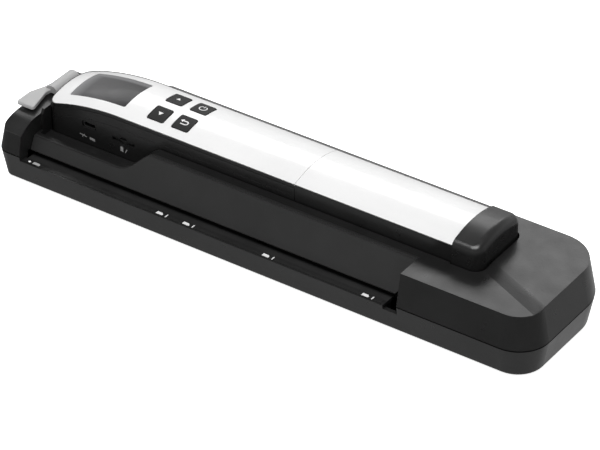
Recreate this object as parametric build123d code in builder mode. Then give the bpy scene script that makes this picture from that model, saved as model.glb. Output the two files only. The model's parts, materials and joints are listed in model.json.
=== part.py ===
from build123d import *
import math
import os

# Docking sheet feeder with its hand-held scanning wand.
# X runs along the length, -Y is the paper entry side, +Z is up.
# The origin is the middle of the footprint, on the surface the dock stands on.

# ---- dock: outline and heights ----
HALF_LENGTH = 157.0
HALF_DEPTH = 38.5
CORNER_RIGHT = 17.0
CORNER_BACK = 24.5
CORNER_LEFT = 7.0
FOOT_HEIGHT = 0.8
PARTING_Z = 17.0
RIM_Z = 35.4
BASE_INSET = 3.0
RIM_INSET = 3.5
WALL = 2.2
SEAM = 0.15

# ---- dock: paper path ----
CHEEK_LEFT = -142.0
CHEEK_RIGHT = 83.2
LEDGE_Z = 14.0
LEDGE_BACK = -33.4
NOTCH_LEFT = 75.0
NOTCH_Z = 12.0
NOTCH_BACK = -26.5
NOTCH_HEAD = 25.0
PATH_TOP = 17.2
ENTRY_PLATEN_Z = 13.4
PLATEN_Z = 15.9
EXIT_TOP = 19.0

# ---- dock: slanted entry wall ----
PANEL_FOOT = (-30.0, 16.2)
PANEL_HEAD = (-21.0, 33.7)
PANEL_THICK = 1.5
LOW_RIM_Z = 23.5
BROW_Z = 28.0
RECESS_Z = 20.5
RAMP_START = -91.0
RAMP_END = -67.0

# ---- dock: top of the right end, shoulder behind the left end ----
STRIP_DROP = 0.9
STRIP_FALL = 0.005
CREASE_START = (119.5, -5.8)
CREASE_END = (153.5, -20.3)
SHOULDER_Z = 20.0
SHOULDER_SLOPE = (0.27, -0.722)

# ---- release lever ----
BLOCK_TOP = 33.0
LEVER_AXIS = (-148.0, 31.3)
LEVER_BAR_X = (-151.4, -144.3)
LEVER_BAR_Y = (1.0, 16.0)
LEVER_BAR_Z = 38.3
LEVER_TAB_X = (-156.0, -145.2)
LEVER_TAB_Y = -21.5
LEVER_TAB_Z = (34.3, 36.2)
LEVER_WELL_Y = (0.4, 19.2)
LEVER_PIN_Y = (-2.0, 20.4)

# ---- wand ----
WAND_LEFT = -143.2
WAND_RIGHT = 113.0
WAND_Y = 4.7
WAND_HALF = 18.5
WAND_BASE = PATH_TOP
COVER_EDGE_Z = 43.7
CROWN_RADIUS = 50.0
NOSE_RADIUS = 128.0
NOSE_START = -97.0
BATTERY_SEAM = 8.0
CAP_START = 98.0
BATTERY_FLOOR = 30.0
COVER_HALF = 18.3
COVER_LIP = 0.6
FRAME_TOP = -2.1
FRAME_FOOT = -7.0
PLAY = 0.5
CAP_WIDER = 1.0

# ---- rollers and gears ----
ROLLER_Y = (WAND_Y - 12.5, WAND_Y + 12.5)
ROLLER_X = (-110.0, -30.0, 50.0)
TYRE_LENGTH = 22.0
TYRE_RADIUS = 6.0
SHAFT_RADIUS = 2.0
SHAFT_Z = 10.6
WAND_TYRE_RADIUS = 2.9
WAND_SHAFT_Z = 19.9
MODULE = 0.5
ROLLER_TEETH = 26
IDLER_TEETH = 24
PINION_TEETH = 12
GEAR_X = 118.0
GEAR_WIDTH = 4.0
GEAR_PLATE_X = 123.6
CONTACT_X = (99.5, 102.5, 105.5, 108.5)
CONTACT_Y = 4.7
PLATE_THICK = 1.2
PINION_ANGLE = 110.0

os.makedirs("parts", exist_ok=True)


def save(part, name):
    """Label one finished piece and write it."""
    part.label = name
    export_step(part, f"parts/{name}.step")


def block(x0, x1, y0, y1, z0, z1, round_z=0.0):
    """A box between six limits, its upright edges rounded if asked."""
    with BuildPart() as solid:
        with BuildSketch(Plane.XY.offset(z0)) as base:
            with Locations(((x0 + x1) / 2, (y0 + y1) / 2)):
                Rectangle(x1 - x0, y1 - y0)
            if round_z > 0:
                fillet(base.vertices(), round_z)
        extrude(amount=z1 - z0)
    return solid.part


def along_x(x0, x1, *points):
    """A prism along X from a closed outline of (y, z) points."""
    with BuildPart() as solid:
        with BuildSketch(Plane.YZ.offset(x0)):
            with BuildLine():
                Polyline(*points, close=True)
            make_face()
        extrude(amount=x1 - x0)
    return solid.part


def rod_x(x0, x1, y, z, radius, bore=0.0):
    """A round bar or tube along X."""
    with BuildPart() as solid:
        with BuildSketch(Plane.YZ.offset(x0)):
            with Locations((y, z)):
                Circle(radius)
                if bore > 0:
                    Circle(bore, mode=Mode.SUBTRACT)
        extrude(amount=x1 - x0)
    return solid.part


def rod_y(y0, y1, x, z, radius):
    """A round bar along Y."""
    with BuildPart() as solid:
        with BuildSketch(Plane.XZ.offset(-y0)):
            with Locations((x, z)):
                Circle(radius)
        extrude(amount=y0 - y1)
    return solid.part


def rod_z(x, y, z0, z1, radius, bore=0.0):
    """A round bar or tube along Z."""
    with BuildPart() as solid:
        with BuildSketch(Plane.XY.offset(z0)):
            with Locations((x, y)):
                Circle(radius)
                if bore > 0:
                    Circle(bore, mode=Mode.SUBTRACT)
        extrude(amount=z1 - z0)
    return solid.part


def dock_outline(inset):
    """Dock footprint drawn into the open sketch: wide corners right, tighter left."""
    Rectangle(2 * (HALF_LENGTH - inset), 2 * (HALF_DEPTH - inset))


def dock_loft(z0, inset0, z1, inset1):
    """Drafted dock body between two levels."""
    with BuildPart() as solid:
        for z, inset in ((z0, inset0), (z1, inset1)):
            with BuildSketch(Plane.XY.offset(z)) as level:
                dock_outline(inset)
                fillet(level.vertices().sort_by(Axis.X)[2:].sort_by(Axis.Y)[0], CORNER_RIGHT - inset)
                fillet(level.vertices().group_by(Axis.Y)[-1].sort_by(Axis.X)[-1], CORNER_BACK - inset)
                fillet(level.vertices().group_by(Axis.X)[0], max(CORNER_LEFT - inset, 1.5))
        loft()
    return solid.part


# ================= dock bottom shell =================
def bottom_inset(z):
    """Inset of the tapered bottom shell at a height."""
    return BASE_INSET * (PARTING_Z - z) / (PARTING_Z - FOOT_HEIGHT)


FLOOR_Z = FOOT_HEIGHT + WALL
SCREW_SPOTS = [(-150.3, -29), (-150.3, 29), (146, -29), (144.5, 25.5), (98, 30.5), (98, -30.5)]
FOOT_SPOTS = [(x, y) for x in (-136, 136) for y in (-26, 26)]

with BuildPart() as dock_bottom_shell:
    add(dock_loft(FOOT_HEIGHT, BASE_INSET, PARTING_Z - SEAM, 0))
    fillet(dock_bottom_shell.faces().sort_by(Axis.Z)[0].edges(), 1.6)
    add(dock_loft(FLOOR_Z, WALL + bottom_inset(FLOOR_Z), PARTING_Z, WALL), mode=Mode.SUBTRACT)
    ledge = block(CHEEK_LEFT - 2, NOTCH_LEFT, -HALF_DEPTH, LEDGE_BACK, FLOOR_Z, PARTING_Z)
    within = dock_loft(FOOT_HEIGHT, BASE_INSET + 0.4, PARTING_Z, 0.4)
    add(ledge & within)
    for x in (CHEEK_LEFT - WALL, CHEEK_RIGHT):
        add(block(x, x + WALL, -HALF_DEPTH, LEDGE_BACK + 2, FLOOR_Z, PARTING_Z - SEAM) & within)
    for x, y in SCREW_SPOTS:
        add(rod_z(x, y, FLOOR_Z - 1, PARTING_Z - SEAM, 3.0))
    add(block(CHEEK_LEFT, CHEEK_RIGHT, -50, LEDGE_BACK + 3, LEDGE_Z, 20), mode=Mode.SUBTRACT)
    add(block(NOTCH_LEFT, CHEEK_RIGHT, -50, LEDGE_BACK, NOTCH_Z, 20), mode=Mode.SUBTRACT)
    add(block(CHEEK_LEFT, CHEEK_RIGHT, 30, 50, ENTRY_PLATEN_Z, 20), mode=Mode.SUBTRACT)
    # shallow seat for the size scale, light pipe hole, feet seats, power jack opening
    add(block(CHEEK_LEFT + 1, NOTCH_LEFT - 1.5, -36.9, -34.0, LEDGE_Z - 0.4, 20), mode=Mode.SUBTRACT)
    add(rod_z(CHEEK_LEFT + 4.2, -35.4, FLOOR_Z + 4, 20, 0.8), mode=Mode.SUBTRACT)
    for x, y in FOOT_SPOTS:
        add(rod_z(x, y, 0, FOOT_HEIGHT + 0.8, 5.5), mode=Mode.SUBTRACT)
    for x, y in SCREW_SPOTS:
        add(rod_z(x, y, 0, FOOT_HEIGHT + 2.4, 2.6), mode=Mode.SUBTRACT)
        add(rod_z(x, y, 0, 30, 1.15), mode=Mode.SUBTRACT)
    jack_hole = rod_y(30, 45, 108, 10.6, 3.3)
    add(jack_hole, mode=Mode.SUBTRACT)
    # shadow line round the outside, just under the seam
    add(dock_loft(PARTING_Z - 0.75, -1, PARTING_Z, -1) - dock_loft(PARTING_Z - 1, 0.8, PARTING_Z + 1, 0.8),
        mode=Mode.SUBTRACT)
save(dock_bottom_shell.part, "dock_bottom_shell")


# ================= dock top shell =================
def panel_y(z, back=0.0):
    """Y of the slanted entry wall at a height, moved back by a distance."""
    slope = (PANEL_HEAD[0] - PANEL_FOOT[0]) / (PANEL_HEAD[1] - PANEL_FOOT[1])
    return PANEL_FOOT[0] + (z - PANEL_FOOT[1]) * slope + back


def front_of_panel(x0, x1, back):
    """Everything in front of the slanted wall, moved back by a distance."""
    return along_x(x0, x1, (-60, 0), (panel_y(0, back), 0), (panel_y(60, back), 60), (-60, 60))


def above_ramp(y0, y1, low, high):
    """Everything above a line that is low at the left and ramps up smoothly to high."""
    middle = (RAMP_START + RAMP_END) / 2
    with BuildPart() as solid:
        with BuildSketch(Plane.XZ.offset(-y0)):
            with BuildLine():
                Line((-170, low), (RAMP_START, low))
                Spline((RAMP_START, low), (middle, (low + high) / 2), (RAMP_END, high),
                       tangents=((1, 0), (1, 0)))
                Polyline((RAMP_END, high), (RAMP_END, 60), (-170, 60), (-170, low))
            make_face()
        extrude(amount=y0 - y1)
    return solid.part


def above_brow(x0, x1, drop):
    """Everything above the left block's top, which curves up from its low front rim."""
    low = BROW_Z - drop
    high = BLOCK_TOP - drop
    with BuildPart() as solid:
        with BuildSketch(Plane.YZ.offset(x0)):
            with BuildLine():
                Line((-60, low - 6), (-HALF_DEPTH + 2.5, low))
                Spline((-HALF_DEPTH + 2.5, low), (-29.0, low + 3.8), (-19.0, high), tangents=((1, 0.62), (1, 0)))
                Polyline((-19.0, high), (60, high), (60, 60), (-60, 60), (-60, low - 6))
            make_face()
        extrude(amount=x1 - x0)
    return solid.part


CHANNEL = (WAND_LEFT - PLAY, WAND_RIGHT + PLAY, WAND_Y - WAND_HALF - PLAY, WAND_Y + WAND_HALF + PLAY)


def channel(grow, z0, z1):
    """The wand's channel, grown sideways."""
    x0, x1, y0, y1 = CHANNEL
    return block(x0 - grow, x1 + grow, y0 - grow, y1 + grow, z0, z1, round_z=6.5 + grow)


def front_fall(drop):
    """Everything above the front strip of the top, which falls forward from the channel.

    On the right the strip ends at a soft crease that runs from the end cap to the front corner.
    """
    top = RIM_Z - drop
    low = top - STRIP_DROP - STRIP_FALL * 60
    strip = along_x(RAMP_START, 160, (2, top - STRIP_DROP), (-60, low), (-60, 70), (2, 70))
    run = Vector(CREASE_END[0] - CREASE_START[0], CREASE_END[1] - CREASE_START[1], 0).normalized()
    across = Plane(origin=(*CREASE_START, top), x_dir=(run.Y, -run.X, 0), z_dir=(-run.X, -run.Y, 0))
    with BuildPart() as solid:
        with BuildSketch(across):
            with BuildLine():
                Spline((0, 0), (3.5, -0.4), (7, -0.95), (14, -1.3), tangents=((1, 0), (1, 0)))
                Polyline((14, -1.3), (160, -1.3), (160, 60), (0, 60), (0, 0))
            make_face()
        extrude(amount=200, both=True)
        add(strip, mode=Mode.INTERSECT)
    return solid.part


def back_fall(drop):
    """Everything above the left end's back shoulder, which slopes away behind the lever and the nose."""
    height = SHOULDER_Z - drop
    across = Plane(origin=(-HALF_LENGTH, 35, height), x_dir=(1, 0, SHOULDER_SLOPE[0]),
                   z_dir=(-SHOULDER_SLOPE[0], -SHOULDER_SLOPE[1], 1))
    with BuildPart() as solid:
        with BuildSketch(across):
            Rectangle(240, 160)
        extrude(amount=60)
        add(block(-200, -90, CHANNEL[3] - 8, 60, 0, 120), mode=Mode.INTERSECT)
    return solid.part


def notch_head():
    """Cut that slants up over the notch, at the right end of the entry wall."""
    foot = (NOTCH_LEFT + 1.5, PANEL_FOOT[1] + 0.4)
    with BuildPart() as solid:
        with BuildSketch(Plane.XZ.offset(20)):
            with BuildLine():
                Polyline(foot, (CHEEK_RIGHT, NOTCH_HEAD), (CHEEK_RIGHT, 5), (foot[0], 5), foot)
            make_face()
        extrude(amount=40)
    return solid.part


def top_over_post(x, y):
    """Underside of the top shell above a screw post."""
    if x < CHEEK_LEFT:
        return BROW_Z - 3 if y < 0 else SHOULDER_Z + 3
    return RIM_Z - 1.8


with BuildPart() as hollow:
    add(dock_loft(PARTING_Z - 1, WALL - 0.2, RIM_Z - WALL, WALL + RIM_INSET))
    add(front_of_panel(CHEEK_LEFT - WALL, CHEEK_RIGHT + WALL, PANEL_THICK + WALL), mode=Mode.SUBTRACT)
    add(above_brow(-170, RAMP_START, WALL), mode=Mode.SUBTRACT)
    add(front_fall(WALL), mode=Mode.SUBTRACT)
    add(back_fall(WALL + 0.6), mode=Mode.SUBTRACT)
    add(channel(3.0, 0, 60), mode=Mode.SUBTRACT)
    recess_walls = block(CHEEK_LEFT - WALL, RAMP_END + 3, -30, CHANNEL[2], RECESS_Z - WALL, 60)
    add(recess_walls, mode=Mode.SUBTRACT)

with BuildPart() as dock_top_shell:
    add(dock_loft(PARTING_Z, 0, RIM_Z, RIM_INSET))
    add(front_of_panel(CHEEK_LEFT, CHEEK_RIGHT, PANEL_THICK), mode=Mode.SUBTRACT)
    add(above_brow(-170, CHEEK_LEFT, 0), mode=Mode.SUBTRACT)
    add(front_fall(0), mode=Mode.SUBTRACT)
    add(back_fall(0), mode=Mode.SUBTRACT)
    rim_step = above_ramp(-50, -20, LOW_RIM_Z, PANEL_HEAD[1] + 1.7)
    add(rim_step - block(-200, CHEEK_LEFT, -60, 60, 0, 80), mode=Mode.SUBTRACT)
    recess = above_ramp(panel_y(LOW_RIM_Z, 3.4), CHANNEL[3] - 3, RECESS_Z, RIM_Z)
    add(recess - block(-200, CHEEK_LEFT + 1.5, -60, 60, 0, 80), mode=Mode.SUBTRACT)
    add(hollow.part, mode=Mode.SUBTRACT)
    add(channel(0, PATH_TOP, 60), mode=Mode.SUBTRACT)
    add(notch_head(), mode=Mode.SUBTRACT)
    # the channel is wider where it takes the end cap
    for x1, corner in ((CHANNEL[1] + CAP_WIDER, 6.5), (CAP_START + 7, 0)):
        add(block(CAP_START - 0.6, x1, CHANNEL[2] - CAP_WIDER, CHANNEL[3] + CAP_WIDER,
                  BATTERY_FLOOR - 0.6, 60, round_z=corner), mode=Mode.SUBTRACT)
    # the paper path runs under the channel between the cheeks
    add(block(CHEEK_LEFT + 0.4, CHEEK_RIGHT, LEDGE_BACK, 60, 0, PATH_TOP), mode=Mode.SUBTRACT)
    add(block(CHEEK_LEFT + 0.4, CHEEK_RIGHT, 30, 60, 0, EXIT_TOP), mode=Mode.SUBTRACT)
    for x, y in SCREW_SPOTS:
        add(rod_z(x, y, PARTING_Z, top_over_post(x, y), 3.0))
        add(rod_z(x, y, PARTING_Z - 1, PARTING_Z + 5, 1.0), mode=Mode.SUBTRACT)
    # floors under both ends of the wand, outside the paper path
    for x0, x1 in ((CHANNEL[0] - 1.5, CHEEK_LEFT), (GEAR_PLATE_X - 29, CHANNEL[1] + 1.5)):
        add(block(x0, x1, CHANNEL[2] - 1.5, CHANNEL[3] + 1.5, PATH_TOP - 2, PATH_TOP))
    for x in CONTACT_X:
        add(rod_z(x, CONTACT_Y, PATH_TOP - 4, PATH_TOP + 1, 0.7), mode=Mode.SUBTRACT)
    # well for the release lever, with a lug for its pin at each end
    for y0, y1 in ((LEVER_PIN_Y[0] - 1, LEVER_WELL_Y[0]), (LEVER_WELL_Y[1], LEVER_PIN_Y[1] + 1)):
        add(block(LEVER_BAR_X[0] - 2, CHANNEL[0] - 1, y0, y1, LEVER_AXIS[1] - 4, BLOCK_TOP))
    well_x = (LEVER_BAR_X[0] - 1.6, CHANNEL[0] + 1)
    add(block(*well_x, *LEVER_WELL_Y, LEVER_AXIS[1] - 3, 60), mode=Mode.SUBTRACT)
    add(rod_y(*LEVER_PIN_Y, *LEVER_AXIS, 1.0), mode=Mode.SUBTRACT)
save(dock_top_shell.part, "dock_top_shell")


# ================= dock front details =================
with BuildPart() as front_guide_panel:
    panel_slab = along_x(
        CHEEK_LEFT + 0.4, CHEEK_RIGHT - 0.6,
        (PANEL_FOOT[0] + PANEL_THICK - 0.05, PANEL_FOOT[1]), PANEL_FOOT,
        (panel_y(PANEL_HEAD[1]), PANEL_HEAD[1]),
        (panel_y(PANEL_HEAD[1], PANEL_THICK - 0.05), PANEL_HEAD[1]))
    add(panel_slab)
    lower_edge = front_guide_panel.edges().filter_by(Axis.X).group_by(Axis.Z)[0].sort_by(Axis.Y)[0]
    fillet(lower_edge, 0.6)
    add(above_ramp(-50, -18, LOW_RIM_Z, PANEL_HEAD[1] + 1.7), mode=Mode.SUBTRACT)
    add(notch_head(), mode=Mode.SUBTRACT)
save(front_guide_panel.part, "front_guide_panel")

with BuildPart() as size_scale_strip:
    add(block(CHEEK_LEFT + 1.1, NOTCH_LEFT - 1.6, -36.8, -34.1, LEDGE_Z - 0.4, LEDGE_Z + 0.1))
    add(rod_z(CHEEK_LEFT + 4.2, -35.4, 0, 20, 0.8), mode=Mode.SUBTRACT)
save(size_scale_strip.part, "size_scale_strip")

with BuildPart() as status_light_pipe:
    add(rod_z(CHEEK_LEFT + 4.2, -35.4, FLOOR_Z + 4, LEDGE_Z + 0.2, 0.75))
    fillet(status_light_pipe.edges().sort_by(Axis.Z)[-1], 0.3)
save(status_light_pipe.part, "status_light_pipe")

with BuildPart() as rubber_feet:
    for x, y in FOOT_SPOTS:
        add(rod_z(x, y, 0, FOOT_HEIGHT + 0.8, 5.4))
    fillet(rubber_feet.edges().group_by(Axis.Z)[0], 0.4)
save(rubber_feet.part, "rubber_feet")

with BuildPart() as dock_screws:
    for x, y in SCREW_SPOTS:
        add(rod_z(x, y, FOOT_HEIGHT + 0.6, FOOT_HEIGHT + 2.4, 2.4))
        add(rod_z(x, y, FOOT_HEIGHT + 2.4, PARTING_Z + 5, 1.0))
        add(block(x - 1.4, x + 1.4, y - 0.25, y + 0.25, 0, FOOT_HEIGHT + 1.4), mode=Mode.SUBTRACT)
        add(block(x - 0.25, x + 0.25, y - 1.4, y + 1.4, 0, FOOT_HEIGHT + 1.4), mode=Mode.SUBTRACT)
save(dock_screws.part, "dock_screws")


# ================= platen, shafts and tyres =================
PLATEN_X = (CHEEK_LEFT + 0.8, CHEEK_RIGHT - 0.8)


def tyre_windows(radius_gap, z0, z1, y_reach):
    """Openings for the tyres, one box for each tyre of both rollers."""
    boxes = []
    for y in ROLLER_Y:
        for x in ROLLER_X:
            half = TYRE_LENGTH / 2 + radius_gap
            boxes.append(block(x - half, x + half, y - y_reach, y + y_reach, z0, z1))
    return boxes


with BuildPart() as paper_platen:
    add(along_x(
        *PLATEN_X, (-33.0, 11.6), (-33.0, ENTRY_PLATEN_Z), (-27.0, ENTRY_PLATEN_Z), (-17.0, PLATEN_Z),
        (26.0, PLATEN_Z), (34.0, ENTRY_PLATEN_Z), (35.0, ENTRY_PLATEN_Z), (35.0, 11.6), (26.0, PLATEN_Z - 1.8),
        (-17.0, PLATEN_Z - 1.8), (-27.0, 11.6)))
    for y, top in ((-29.0, ENTRY_PLATEN_Z - 1.0), (30.0, ENTRY_PLATEN_Z)):
        for x in (-138.0, -70.0, 10.0, 72.0):
            add(rod_z(x, y, FLOOR_Z, top, 1.8))
    for window in tyre_windows(1.0, 9, 20, TYRE_RADIUS + 0.3):
        add(window, mode=Mode.SUBTRACT)
    add(block(-5, 1, -27.5, -21, 10, 20), mode=Mode.SUBTRACT)
    add(block(NOTCH_LEFT - 0.4, CHEEK_RIGHT, -50, NOTCH_BACK, 5, 20), mode=Mode.SUBTRACT)
save(paper_platen.part, "paper_platen")

SHAFT_X = (-147.4, GEAR_PLATE_X + PLATE_THICK)
for name, y in zip(("feed", "exit"), ROLLER_Y):
    with BuildPart() as shaft:
        add(rod_x(*SHAFT_X, y, SHAFT_Z, SHAFT_RADIUS))
        chamfer(shaft.edges().filter_by(GeomType.CIRCLE), 0.3)
    save(shaft.part, f"{name}_roller_shaft")
    with BuildPart() as tyres:
        for x in ROLLER_X:
            add(rod_x(x - TYRE_LENGTH / 2, x + TYRE_LENGTH / 2, y, SHAFT_Z, TYRE_RADIUS, SHAFT_RADIUS))
    save(tyres.part, f"{name}_roller_tyres")

for name, x in (("left", -146.0), ("right", 84.6)):
    with BuildPart() as bracket:
        add(block(x, x + PLATE_THICK, ROLLER_Y[0] - 6, ROLLER_Y[1] + 6, FLOOR_Z, PATH_TOP - 2.4))
        for y in ROLLER_Y:
            add(rod_x(x - 1, x + 3, y, SHAFT_Z, 3.0), mode=Mode.SUBTRACT)
    save(bracket.part, f"shaft_bracket_{name}")

with BuildPart() as roller_bushings:
    for x in (-146.0, 84.6):
        for y in ROLLER_Y:
            add(rod_x(x - 0.6, x + PLATE_THICK + 0.6, y, SHAFT_Z, 3.0, SHAFT_RADIUS + 0.06))
save(roller_bushings.part, "roller_bushings")


# ================= gear train and motor =================
def involute(angle):
    """Involute function of a pressure angle."""
    return math.tan(angle) - angle


def gear(teeth, bore, phase, y, z, x0=GEAR_X, width=GEAR_WIDTH):
    """Spur gear along X with involute flanks; phase is the angle of its first tooth."""
    pitch = MODULE * teeth / 2
    base = pitch * math.cos(math.radians(20))
    tip = pitch + 0.9 * MODULE
    root = pitch - 1.25 * MODULE
    half = 0.47 * math.pi / teeth + involute(math.radians(20))
    radii = [max(base, root) + (tip - max(base, root)) * k / 4 for k in range(5)]
    flank = [(r, half - involute(math.acos(min(1.0, base / r)))) for r in radii]
    tooth = [(root, -half)] + [(r, -a) for r, a in flank] + [(r, a) for r, a in reversed(flank)] + [(root, half)]
    points = []
    for index in range(teeth):
        middle = math.radians(phase) + 2 * math.pi * index / teeth
        points += [(y + r * math.cos(middle + a), z + r * math.sin(middle + a)) for r, a in tooth]
    with BuildPart() as wheel:
        with BuildSketch(Plane.YZ.offset(x0)):
            with BuildLine():
                Polyline(*points, close=True)
            make_face()
            with Locations((y, z)):
                Circle(bore, mode=Mode.SUBTRACT)
        extrude(amount=width)
    return wheel.part


IDLER_Y = (ROLLER_Y[0] + ROLLER_Y[1]) / 2
PINION_REACH = MODULE * (ROLLER_TEETH + PINION_TEETH) / 2
PINION_Y = ROLLER_Y[0] + PINION_REACH * math.cos(math.radians(PINION_ANGLE))
PINION_Z = SHAFT_Z + PINION_REACH * math.sin(math.radians(PINION_ANGLE))
ROLLER_PITCH = 360 / ROLLER_TEETH
# turn the pinion so that one of its gaps takes the feed gear tooth nearest the line of centres
NEAREST_TOOTH = round(PINION_ANGLE / ROLLER_PITCH) * ROLLER_PITCH
PINION_PHASE = PINION_ANGLE + 180 + 180 / PINION_TEETH
PINION_PHASE -= (NEAREST_TOOTH - PINION_ANGLE) * ROLLER_TEETH / PINION_TEETH

feed_gear = gear(ROLLER_TEETH, SHAFT_RADIUS, 0, ROLLER_Y[0], SHAFT_Z)
save(feed_gear, "feed_gear")
exit_gear = gear(ROLLER_TEETH, SHAFT_RADIUS, 0, ROLLER_Y[1], SHAFT_Z)
save(exit_gear, "exit_gear")
idler_gear = gear(IDLER_TEETH, 1.55, 180 / IDLER_TEETH, IDLER_Y, SHAFT_Z)
save(idler_gear, "idler_gear")
motor_pinion = gear(PINION_TEETH, 1.0, PINION_PHASE, PINION_Y, PINION_Z)
save(motor_pinion, "motor_pinion")

with BuildPart() as idler_pin:
    add(rod_x(GEAR_X - 1.2, GEAR_PLATE_X + PLATE_THICK, IDLER_Y, SHAFT_Z, 1.5))
    add(rod_x(GEAR_X - 1.8, GEAR_X - 0.3, IDLER_Y, SHAFT_Z, 2.4))
save(idler_pin.part, "idler_pin")

with BuildPart() as gear_plate:
    add(block(GEAR_PLATE_X, GEAR_PLATE_X + PLATE_THICK, ROLLER_Y[0] - 10, ROLLER_Y[1] + 6, FLOOR_Z, 27.0))
    for y in ROLLER_Y:
        add(rod_x(GEAR_PLATE_X - 1, GEAR_PLATE_X + 4, y, SHAFT_Z, SHAFT_RADIUS + 0.06), mode=Mode.SUBTRACT)
    add(rod_x(GEAR_PLATE_X - 1, GEAR_PLATE_X + 4, IDLER_Y, SHAFT_Z, 1.5), mode=Mode.SUBTRACT)
    add(rod_x(GEAR_PLATE_X - 1, GEAR_PLATE_X + 4, PINION_Y, PINION_Z, 2.2), mode=Mode.SUBTRACT)
    add(block(120, 130, 10.0, 40, 18.0, 40), mode=Mode.SUBTRACT)
save(gear_plate.part, "gear_plate")

MOTOR_X = GEAR_PLATE_X + PLATE_THICK
with BuildPart() as feed_motor:
    add(block(MOTOR_X, MOTOR_X + 9, PINION_Y - 6, PINION_Y + 6, PINION_Z - 5, PINION_Z + 5))
    with BuildSketch(Plane.YZ.offset(MOTOR_X + 9)) as can:
        with Locations((PINION_Y, PINION_Z)):
            Circle(6.0)
        with Locations((PINION_Y, PINION_Z)):
            Rectangle(14, 10, mode=Mode.INTERSECT)
    extrude(amount=13)
    add(rod_x(MOTOR_X + 22, MOTOR_X + 23.2, PINION_Y, PINION_Z, 2.2))
save(feed_motor.part, "feed_motor")

with BuildPart() as motor_shaft:
    add(rod_x(GEAR_X, MOTOR_X, PINION_Y, PINION_Z, 1.0))
save(motor_shaft.part, "motor_shaft")


# ================= dock electrics =================
BOARD_X = (102.0, 116.5)
BOARD_Z = 6.6
with BuildPart() as dock_circuit_board:
    add(block(*BOARD_X, 21.0, 33.2, BOARD_Z - 1.6, BOARD_Z))
    for x, y, width, depth, height in ((114.6, 26, 3, 4, 1.6), (114.6, 31, 3, 2.5, 1.0), (106, 22.6, 6, 2, 1.2)):
        add(block(x - width / 2, x + width / 2, y - depth / 2, y + depth / 2, BOARD_Z, BOARD_Z + height))
save(dock_circuit_board.part, "dock_circuit_board")

with BuildPart() as power_jack:
    add(block(103.6, 112.4, 24.4, 34.2, BOARD_Z, 15.0))
    add(rod_y(34.2, 36.6, 108, 10.6, 3.2))
    add(rod_y(27.0, 37.0, 108, 10.6, 2.75), mode=Mode.SUBTRACT)
    add(rod_y(26.0, 35.4, 108, 10.6, 0.65))
save(power_jack.part, "power_jack")

with BuildPart() as dock_contact_block:
    add(block(CONTACT_X[0] - 2.5, CONTACT_X[-1] + 2.5, CONTACT_Y - 3, CONTACT_Y + 3, 12.8, PATH_TOP - 2))
    for x in CONTACT_X:
        add(rod_z(x, CONTACT_Y, PATH_TOP - 2.2, PATH_TOP - 0.3, 0.5))
save(dock_contact_block.part, "dock_contact_block")

with BuildPart() as paper_sensor_flag:
    add(rod_x(-4.4, 0.4, -24.2, 10.2, 1.2))
    add(block(-2.6, -1.4, -25.0, -23.4, 10.2, 15.4))
    add(block(-4.2, -3.2, -26.6, -24.2, 6.4, 10.2))
    add(rod_x(-6, 2, -24.2, 10.2, 0.55), mode=Mode.SUBTRACT)
save(paper_sensor_flag.part, "paper_sensor_flag")

with BuildPart() as flag_post:
    for x in (-6.4, 0.8):
        add(block(x, x + 1.6, -25.6, -22.8, FLOOR_Z, 11.6))
    add(rod_x(-4.9, 0.9, -24.2, 10.2, 0.5))
save(flag_post.part, "flag_post")


# ================= release lever =================
with BuildPart() as release_lever:
    with BuildSketch(Plane.XZ.offset(-LEVER_BAR_Y[0])) as bar:
        with Locations(((LEVER_BAR_X[0] + LEVER_BAR_X[1]) / 2, (LEVER_AXIS[1] + LEVER_BAR_Z) / 2)):
            Rectangle(LEVER_BAR_X[1] - LEVER_BAR_X[0], LEVER_BAR_Z - LEVER_AXIS[1])
        fillet(bar.vertices().group_by(Axis.Y)[-1], 3.2)
        with Locations(LEVER_AXIS):
            Circle(2.6)
    extrude(amount=-(LEVER_BAR_Y[1] - LEVER_BAR_Y[0]))
    far_end = release_lever.edges().filter_by(lambda edge: edge.center().Y > LEVER_BAR_Y[1] - 0.1
                                              and edge.center().Z > LEVER_AXIS[1] + 4)
    fillet(far_end, 1.2)
    with BuildSketch(Plane.XY.offset(LEVER_TAB_Z[0])) as tab:
        with BuildLine():
            Polyline((LEVER_TAB_X[1], LEVER_TAB_Y), (LEVER_TAB_X[0], LEVER_TAB_Y), (LEVER_TAB_X[0], -10.8),
                     (-153.0, -3.2), (LEVER_BAR_X[0], LEVER_BAR_Y[0] + 3), (-146.5, LEVER_BAR_Y[0] + 3),
                     (-148.8, -6.5), close=True)
        make_face()
        fillet(tab.vertices().sort_by(Axis.Y)[:2], 1.4)
        fillet(tab.vertices().filter_by(lambda corner: -12 < corner.Y < -2), 3.0)
    extrude(amount=LEVER_TAB_Z[1] - LEVER_TAB_Z[0])
    tab_top = release_lever.faces().filter_by(Axis.Z).sort_by(Axis.Z).filter_by(
        lambda face: abs(face.center().Z - LEVER_TAB_Z[1]) < 0.1)
    fillet([edge for edge in tab_top.edges() if edge.center().Y < LEVER_BAR_Y[0] - 2.5], 0.5)
    # the bar runs on over the front lug as a rounded ridge
    with BuildSketch(Plane.XZ.offset(-LEVER_BAR_Y[0])) as ridge:
        with Locations(((LEVER_BAR_X[0] + LEVER_BAR_X[1]) / 2, (LEVER_TAB_Z[0] + LEVER_BAR_Z) / 2)):
            Rectangle(LEVER_BAR_X[1] - LEVER_BAR_X[0], LEVER_BAR_Z - LEVER_TAB_Z[0])
        fillet(ridge.vertices().group_by(Axis.Y)[-1], 3.2)
    extrude(amount=4.5)
    add(rod_y(LEVER_BAR_Y[0] - 1, LEVER_BAR_Y[1] + 1, *LEVER_AXIS, 1.05), mode=Mode.SUBTRACT)
save(release_lever.part, "release_lever")

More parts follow.
